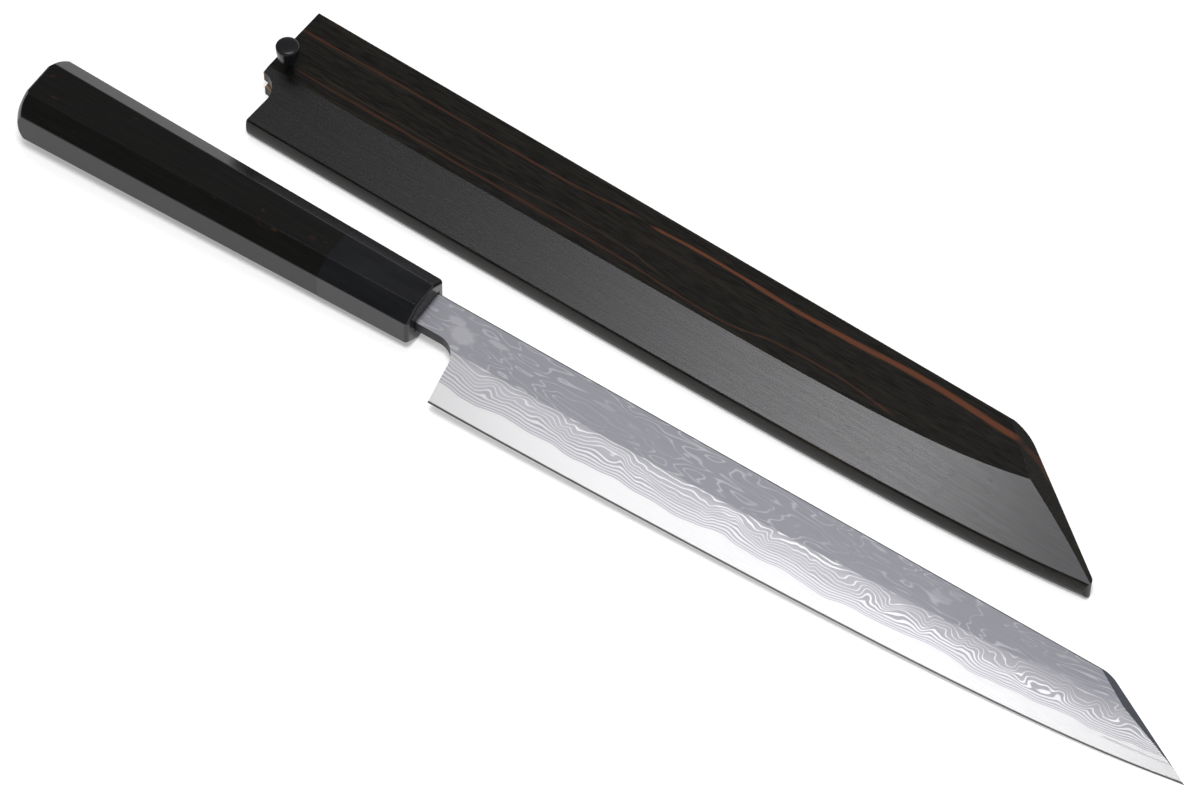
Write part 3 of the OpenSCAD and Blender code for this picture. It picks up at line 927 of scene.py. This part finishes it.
# %% [markdown]
# ## Layered steel on the bevel
#
# Suminagashi, floating ink, is iron folded with nickel and ground at a slant, so that the
# layers show as fine wavy lines. They can't be drawn one by one. Instead a height is made for
# every point of the bevel: its distance from the edge, lifted by slow waves and, on the upper
# half, by tighter kinks that calm down again at the ridge. Equal steps of that height are the
# layers, and their borders shine. The attribute "across" is 0 at the edge and 1 at the ridge,
# so the lines follow the curve of the blade.

# %% A map of the blade
BEVEL_WIDE = 18.0


def blade_map(tree):
    """The blade's own axes, X and Y in them, the share across, and the map that the lines use."""
    where = own_axes(tree, BLADE)
    x, y, z = add(tree, "SeparateXYZ", Vector=where).outputs
    across = add(tree, "Attribute")
    across.attribute_name = "across"
    share = across.outputs["Fac"]
    flow = add(tree, "CombineXYZ", X=x, Y=times(tree, share, BEVEL_WIDE), Z=0.0)
    return where, x, y, share, flow.outputs[0]


def off_middle(tree, layer):
    """0 in the middle of a layer and one half at its borders."""
    return calc(tree, "ABSOLUTE", calc(tree, "SUBTRACT", calc(tree, "FRACT", layer), 0.5))


print("the bevel counts as", BEVEL_WIDE, "mm wide")

# %% Heights of the layers
bevel_steel, tree, shader = start_finish("bevel_steel")
where, x, y, share, flow = blade_map(tree)
from_edge = times(tree, share, BEVEL_WIDE)
wave = calc(tree, "SUBTRACT", noise(tree, flow, (19, 50, 1), 1.5, 0.4), 0.5)
kink = calc(tree, "SUBTRACT", noise(tree, flow, (11, 11, 1), 1.0, 0.4, 0.9), 0.5)
curl = times(tree, fade(tree, share, 0.4, 0.85, 0.0, 8.0), fade(tree, share, 0.8, 1.02, 1.0, 0.3))
curl = times(tree, curl, fade(tree, x, 120.0, 240.0, 1.0, 1.7))
lift = calc(tree, "ADD", times(tree, wave, 6.0), times(tree, kink, curl))
height = calc(tree, "ADD", from_edge, lift)
depth = calc(tree, "SUBTRACT", height, fade(tree, x, HEEL_X, TIP_X, 7.1, 6.6))
layer = calc(tree, "POWER", calc(tree, "MAXIMUM", depth, 0.0), 0.78)
toward_tip = times(tree, fade(tree, x, 110.0, 250.0), fade(tree, share, 0.5, 0.95))
layer = times(tree, layer, fade(tree, x, 60.0, TIP_X, 1.5, 1.8))
layer = times(tree, layer, fade(tree, toward_tip, 0.0, 1.0, 1.0, 0.82))
print("bevel so far", len(tree.nodes), "nodes")

# %% Thickness of the lines
upper = fade(tree, depth, 1.0, 7.0)
bursts = fade(tree, noise(tree, flow, (22, 7, 1), 1.0), 0.55, 0.68)
bursts = times(tree, bursts, upper)
thin = fade(tree, upper, 0.0, 1.0, 0.13, 0.34)
thin = calc(tree, "SUBTRACT", thin, times(tree, bursts, 0.09))
thin = calc(tree, "ADD", thin, times(tree, toward_tip, 0.06))
line = add(tree, "MapRange", Value=off_middle(tree, layer), From_Min=thin,
           From_Max=calc(tree, "ADD", thin, 0.14))
line = times(tree, line.outputs[0], fade(tree, share, 1.02, 0.94, 0.6, 1.0))
print("lines", len(tree.nodes), "nodes")

# %% Etched colours of the bevel and a painted dark edge line
ground = blend(tree, upper, (0.57, 0.57, 0.60, 1), (0.73, 0.73, 0.765, 1))
ground = blend(tree, toward_tip, ground, (0.57, 0.57, 0.60, 1))
ground = blend(tree, fade(tree, share, 0.86, 1.0, 0.0, 0.6), ground, (0.52, 0.52, 0.545, 1))
shine = blend(tree, upper, (0.82, 0.82, 0.845, 1), (0.98, 0.98, 0.985, 1))
clad = blend(tree, line, ground, shine)
fine = noise(tree, where, (6, 0.22, 0.22), 3.0)
band = blend(tree, fine, (0.74, 0.74, 0.74, 1), (0.94, 0.94, 0.935, 1))
band = blend(tree, fade(tree, x, 150.0, 60.0, 0.0, 0.8), band, (0.97, 0.97, 0.965, 1))
# A thin dark line along the very edge is painted shade and a painted dark reflection.
band = blend(tree, fade(tree, from_edge, 0.85, 0.45), band, (0.11, 0.10, 0.095, 1))
dress(tree, shader, Base_Color=blend(tree, fade(tree, depth, -0.15, 0.15), band, clad),
      Metallic=1.0, Roughness=fade(tree, line, 0.0, 1.0, 0.5, 0.42))
print("bevel", len(tree.nodes), "nodes")

# %% [markdown]
# ## The flat
#
# On the flat the same layers lie nearly level with the surface, so they show as closed
# contours, like a map, and as a few pale clouds near the neck. A noise gives the hills and its
# contours are the lines. A fine streak along the blade is the stone's polish. The marks that a
# smith would chisel here are left out: this blade is bare.

# %% Contours of the flat
flat_steel, tree, shader = start_finish("flat_steel")
where, x, y, share, flow = blade_map(tree)
hills = noise(tree, flow, (26, 6, 1), 2.0, 0.45, 0.35)
near = off_middle(tree, times(tree, hills, 10.0))
patches = noise(tree, flow, (30, 7, 1), 1.0)
line = times(tree, fade(tree, near, 0.34, 0.49), fade(tree, patches, 0.38, 0.58, 0.35, 1.0))
fine = noise(tree, where, (8, 0.25, 0.25), 3.0)
ground = blend(tree, fine, (0.47, 0.47, 0.515, 1), (0.58, 0.58, 0.635, 1))
print("contours", len(tree.nodes), "nodes")

# %% Clouds, colours and a painted dark spine line of the flat


def blotch(tree, where, middle, wide, high):
    """A cloudy oval patch where the etched layers lie nearly flat."""
    made = add(tree, "VectorMath", Vector=where)
    made.operation = "SUBTRACT"
    made.inputs[1].default_value = (*middle, 0)
    oval = add(tree, "VectorMath", Vector=stretch(tree, made.outputs[0], (wide, high, 1e3)))
    oval.operation = "LENGTH"
    edge = noise(tree, where, (2.5, 2.5, 2.5), 3.0)
    return fade(tree, calc(tree, "ADD", oval.outputs["Value"], edge), 1.75, 1.25)


for middle, wide, high in (((15.5, -9.2), 4.5, 3.2), ((11.0, -5.6), 3.2, 1.4),
                           ((27.4, -5.8), 3.5, 1.0)):
    cloud = times(tree, blotch(tree, where, middle, wide, high), 0.7)
    line = calc(tree, "MAXIMUM", line, cloud)
etched = blend(tree, times(tree, line, 0.6), ground, (0.88, 0.88, 0.91, 1))
# A thin dark line along the spine side of the flat is a painted dark reflection.
spine = fade(tree, y, -0.6, -0.25)
dress(tree, shader, Base_Color=blend(tree, spine, etched, (0.10, 0.10, 0.11, 1)),
      Metallic=1.0, Roughness=fade(tree, line, 0.0, 1.0, 0.48, 0.38))
print("flat", len(tree.nodes), "nodes")

# %% [markdown]
# ## Facet, back, forge skin and a painted dark spine
#
# Three quieter steels are left. The slanted facet is polished and looks dark blue-grey, because
# it mirrors the dim room. The hollow back is bright with fine grinding streaks. The narrow
# sides at the neck keep a dark skin from the forge, and the same dark finish on the rounded
# corner of the spine is a painted dark reflection.

# %% Facet, back and dark sides
facet_steel = speckle("facet_steel", BLADE, (3, 0.2, 0.2), 2.0, (0.16, 0.17, 0.20),
                      (0.24, 0.25, 0.29), Metallic=1.0, Roughness=0.4)
# Forge skin at the neck; on the rounded spine corner the same finish is a painted dark reflection.
scale_and_painted_dark_steel = speckle("scale_and_painted_dark_steel", BLADE, (2, 0.6, 0.6), 4.0, (0.010, 0.009, 0.012),
                      (0.035, 0.030, 0.036), Metallic=0.6, Roughness=0.5)
back_steel, tree, shader = start_finish("back_steel")
fine = noise(tree, own_axes(tree, BLADE), (9, 0.2, 0.2), 3.0)
dress(tree, shader, Base_Color=blend(tree, fine, (0.62, 0.62, 0.63, 1), (0.80, 0.80, 0.80, 1)),
      Metallic=1.0, Roughness=fade(tree, fine, 0.3, 0.7, 0.28, 0.4))
print("back", len(tree.nodes), "nodes")

# %% [markdown]
# ## Painting the blade
#
# Each face gets its finish by where it lies and which way it points. Faces could be picked by
# hand, but a rule keeps working when the blank is sawn finer. The facet is known by its own
# direction, which was used to cut it.

# %% Paint the blade


def paint(piece, finishes, choose):
    """Gives each face one of the finishes, by its middle and its normal."""
    piece.data.materials.clear()
    for finish in finishes:
        piece.data.materials.append(finish)
    for face in piece.data.polygons:
        face.material_index = choose(face.center / MM, face.normal)


facet_normal = facet_out if facet_out.z > 0 else -facet_out
FLAT, BEVEL, FACET, BACK, SKIN_AND_PAINTED_DARK = range(5)


def blade_face(p, n):
    """Which finish a face of the blade gets."""
    if n.z < -0.7:
        return BACK
    if n.z < 0.3:
        return SKIN_AND_PAINTED_DARK if p.x < 20 and p.y < -1 else BACK
    if n.angle(facet_normal) < 0.05:
        return FACET
    # The rounded spine corner gets the dark finish as a painted dark reflection.
    if n.y > 0.25 and p.x < 280:
        return SKIN_AND_PAINTED_DARK
    return BEVEL if n.y < -0.08 and p.y < shoulder_y(p.x) + 0.1 else FLAT


for piece in (blade, steel):
    paint(piece, (flat_steel, bevel_steel, facet_steel, back_steel, scale_and_painted_dark_steel), blade_face)
    across = piece.data.attributes.new("across", "FLOAT", "POINT")
    for corner, value in zip(piece.data.vertices, across.data):
        x, y = corner.co.x / MM, corner.co.y / MM
        value.value = (y - edge_y(x)) / (shoulder_y(x) - edge_y(x))
print("blade painted", len(blade.data.polygons), "and", len(steel.data.polygons), "faces")

# %% [markdown]
# ## Wood of the sheath
#
# The sheath is also ebony, with a few reddish lines of lighter wood that run its whole length
# and drift from side to side. The black ground is three noises: grain, short open pores, and
# broad brown bands. The lines are too regular for noise and too ragged for a drawing, so each
# follows a course through a few measured points, and the grain breaks up its border.

# %% Sheath wood
wood, tree, shader = start_finish("sheath_wood")
where = own_axes(tree, SHEATH)
x, y, z = add(tree, "SeparateXYZ", Vector=where).outputs
grain = noise(tree, where, (30, 0.5, 0.5), 5.0, 0.6)
pores = noise(tree, where, (7, 0.3, 0.3), 3.0, 0.6)
bands = noise(tree, where, (90, 2.4, 2.4), 3.0, 0.6)
black, worn = (0.0025, 0.0023, 0.002, 1), (0.013, 0.012, 0.0095, 1)
dark = blend(tree, fade(tree, pores, 0.38, 0.62), black, worn)
dark = blend(tree, fade(tree, bands, 0.50, 0.72, 0.0, 0.6), dark, (0.022, 0.016, 0.011, 1))
print("wood ground", len(tree.nodes), "nodes")

# %% Courses and stripes


def course(tree, x, points):
    """A line's distance from the spine at any x, through a few points in millimetres."""
    made = tree.nodes.new("ShaderNodeFloatCurve")
    curve = made.mapping.curves[0]
    curve.points[0].location = (0, 1 + points[0][1] / 30)
    curve.points[1].location = (1, 1 + points[-1][1] / 30)
    for along, away in points:
        curve.points.new(along / 300, 1 + away / 30)
    made.mapping.update()
    plug(tree, made.inputs["Value"], calc(tree, "DIVIDE", x, 300.0))
    return times(tree, calc(tree, "SUBTRACT", made.outputs[0], 1.0), 30.0)


def stripe(tree, x, y, grain, points, width):
    """How much of a lighter line shows: it follows a course and the grain breaks it up."""
    ragged = times(tree, calc(tree, "SUBTRACT", grain, 0.5), 1.6)
    off = calc(tree, "SUBTRACT", calc(tree, "SUBTRACT", y, course(tree, x, points)), ragged)
    share = fade(tree, calc(tree, "DIVIDE", calc(tree, "ABSOLUTE", off), width), 0.75, 0.3)
    share = times(tree, share, fade(tree, x, points[0][0] - 3, points[0][0] + 3))
    return times(tree, share, fade(tree, x, points[-1][0] + 3, points[-1][0] - 3))


print("stripe tools ready")

# %% Stripes of the sheath
brown, orange, dim = (0.046, 0.018, 0.011, 1), (0.115, 0.038, 0.018, 1), (0.026, 0.016, 0.011, 1)
stripes = (
    (0.7, brown, 1.0, ((0, -9.0), (53, -8.3), (110, -7.8), (136, -5.8))),
    (fade(tree, x, 143, 270, 0.9, 2.0), orange, 0.85,
     ((143, -6.1), (168, -5.5), (200, -6.2), (219, -5.6), (248, -4.3), (284, -5.6))),
    (2.0, brown, 0.8, ((287, -6.6), (300, -11.5))),
    (fade(tree, x, 100, 180, 0.8, 0.6), brown, 0.85,
     ((9, -23.5), (93, -23.0), (141, -22.7), (181, -23.6), (202, -20.3), (225, -19.5),
      (246, -21.2))),
    (0.6, dim, 1.0, ((19, -21.3), (79, -20.9), (90, -19.7), (138, -18.1), (155, -20.2))))
colour = dark
for width, lighter, strength, points in stripes:
    share = times(tree, stripe(tree, x, y, grain, points, width), strength)
    colour = blend(tree, share, colour, lighter)
dress(tree, shader, Base_Color=colour, Roughness=fade(tree, grain, 0.3, 0.7, 0.34, 0.44),
      Specular_IOR_Level=0.22, Normal=bump(tree, grain, 0.03))
print("sheath wood", len(tree.nodes), "nodes")

# %% [markdown]
# ## Planed bevel
#
# The bevel comes straight from a sharp plane, which leaves wood glossier than sanding does, so
# it mirrors the bank as a long sheen. The streaks and short pores in it are changes of
# roughness along the grain. A bump looked like scratches in metal here, so there is none.

# %% Planed bevel of the sheath
planed, tree, shader = start_finish("planed_wood")
where = own_axes(tree, SHEATH)
grain = noise(tree, where, (25, 0.5, 0.5), 3.0, 0.6)
x, y, z = add(tree, "SeparateXYZ", Vector=where).outputs
black, worn = (0.004, 0.004, 0.0045, 1), (0.011, 0.0112, 0.0122, 1)
pores = noise(tree, where, (4, 0.3, 0.3), 2.0, 0.6)
pores = times(tree, fade(tree, pores, 0.60, 0.70, 0.0, 0.10), fade(tree, grain, 0.4, 0.55))
rough = calc(tree, "ADD", fade(tree, grain, 0.35, 0.65, 0.275, 0.248),
             fade(tree, x, 250, 315, 0.0, 0.085))
dress(tree, shader, Base_Color=blend(tree, fade(tree, grain, 0.35, 0.65), black, worn),
      Roughness=calc(tree, "ADD", rough, pores), Specular_IOR_Level=0.9)
print("planed wood", len(tree.nodes), "nodes")

# %% [markdown]
# ## What hardly shows
#
# The walls of the slot are bare brown wood, the dowel in the handle is a plain pale wood, black
# resin seals the neck, and the pin is turned from dense black wood whose grain stands upright.
# Each still gets grain of its own, because the sheath can be drawn off and the pin pulled out.

# %% Bare wood, resin and the wood of the pin
pale = speckle("pale_wood", SHEATH, (18, 0.6, 0.6), 4.0, (0.20, 0.12, 0.075),
               (0.36, 0.24, 0.16), Roughness=0.7)
dowel = speckle("dowel_wood", KNIFE, (20, 0.5, 0.5), 4.0, (0.42, 0.28, 0.15),
                (0.62, 0.46, 0.28), Roughness=0.7)
resin = speckle("resin", KNIFE, (1.5, 1.5, 1.5), 3.0, (0.010, 0.010, 0.011),
                (0.035, 0.033, 0.032), Roughness=0.45)
pin_wood = speckle("pin_wood", SHEATH, (0.5, 0.5, 9), 4.0, (0.005, 0.005, 0.006),
                   (0.016, 0.016, 0.018), Roughness=0.25, Specular_IOR_Level=0.45)

# %% [markdown]
# ## Painting the rest
#
# Handle, ferrule and pin have one finish each. The sheath has three: wood outside, the planed
# bevel, and bare wood where a face is a wall of the slot. Dowel and resin stay the solids of
# the frame and only get a material.

# %% Paint the rest
for piece, finish in ((handle, ebony), (ferrule, horn), (pin, pin_wood)):
    paint(piece, (finish,), lambda p, n: 0)


def room_wall(p, n):
    """Is this face a wall of the slot?"""
    x, y = p.x + MOUTH_X, p.y + ROOM_Y
    if p.z < GLUE_Z + 0.01:
        return edge_y(x) - 0.6 < y < 0.6
    return edge_y(x) - 0.55 < y < 0.55 and p.z < 9.25 and not n.x < -0.9


def sheath_face(p, n):
    """Which finish a face of the front half gets: wood, bare wood or planed wood."""
    inside = GLUE_Z - 0.01 <= p.z < 9.3 and -MOUTH_X < p.x < 283 and n.z < 0.99
    if inside and room_wall(p, n):
        return 1
    return 2 if n.z > 0.9 and n.y < -0.09 and abs(n.x) < 0.05 else 0


paint(sheath, (wood, pale, planed), sheath_face)
paint(back_half, (wood, pale), lambda p, n: 1 if n.z > 0.99 and p.z < GLUE_Z + 0.01 else 0)
for name, finish in (("tang_dowel", dowel), ("neck_seal", resin)):
    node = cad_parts[name]
    node.data.materials.clear()
    node.data.materials.append(finish)
print("bare faces in the sheath", sum(1 for f in sheath.data.polygons if f.material_index == 1))

# %% [markdown]
# ## Places, bodies and replaced solids
#
# Every piece is laid down by the matrix of its group. It then rides on a body, so it moves with
# the joint: the sheath slides off along its length with both halves, and the pin rides inside
# it and also lifts. Each piece replaces the plain solid of the same place.

# %% Ride and replace
for piece, axes, body, node, slot in (
        (handle, KNIFE, "knife", "handle", "ebony"),
        (ferrule, KNIFE, "knife", "ferrule", "horn"),
        (blade, BLADE, "knife", "blade_cladding", "layered_steel"),
        (steel, BLADE, "knife", "blade_core", "hard_steel"),
        (sheath, SHEATH, "sheath", "sheath_front", "sheath_wood"),
        (back_half, SHEATH, "sheath", "sheath_back", "sheath_wood"),
        (pin, SHEATH, "sheath_pin", "sheath_pin", "pin_wood")):
    piece.matrix_world = axes
    settle(piece)
    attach(piece, body)
    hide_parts(node)
    print(piece.name, len(piece.data.polygons), "faces")
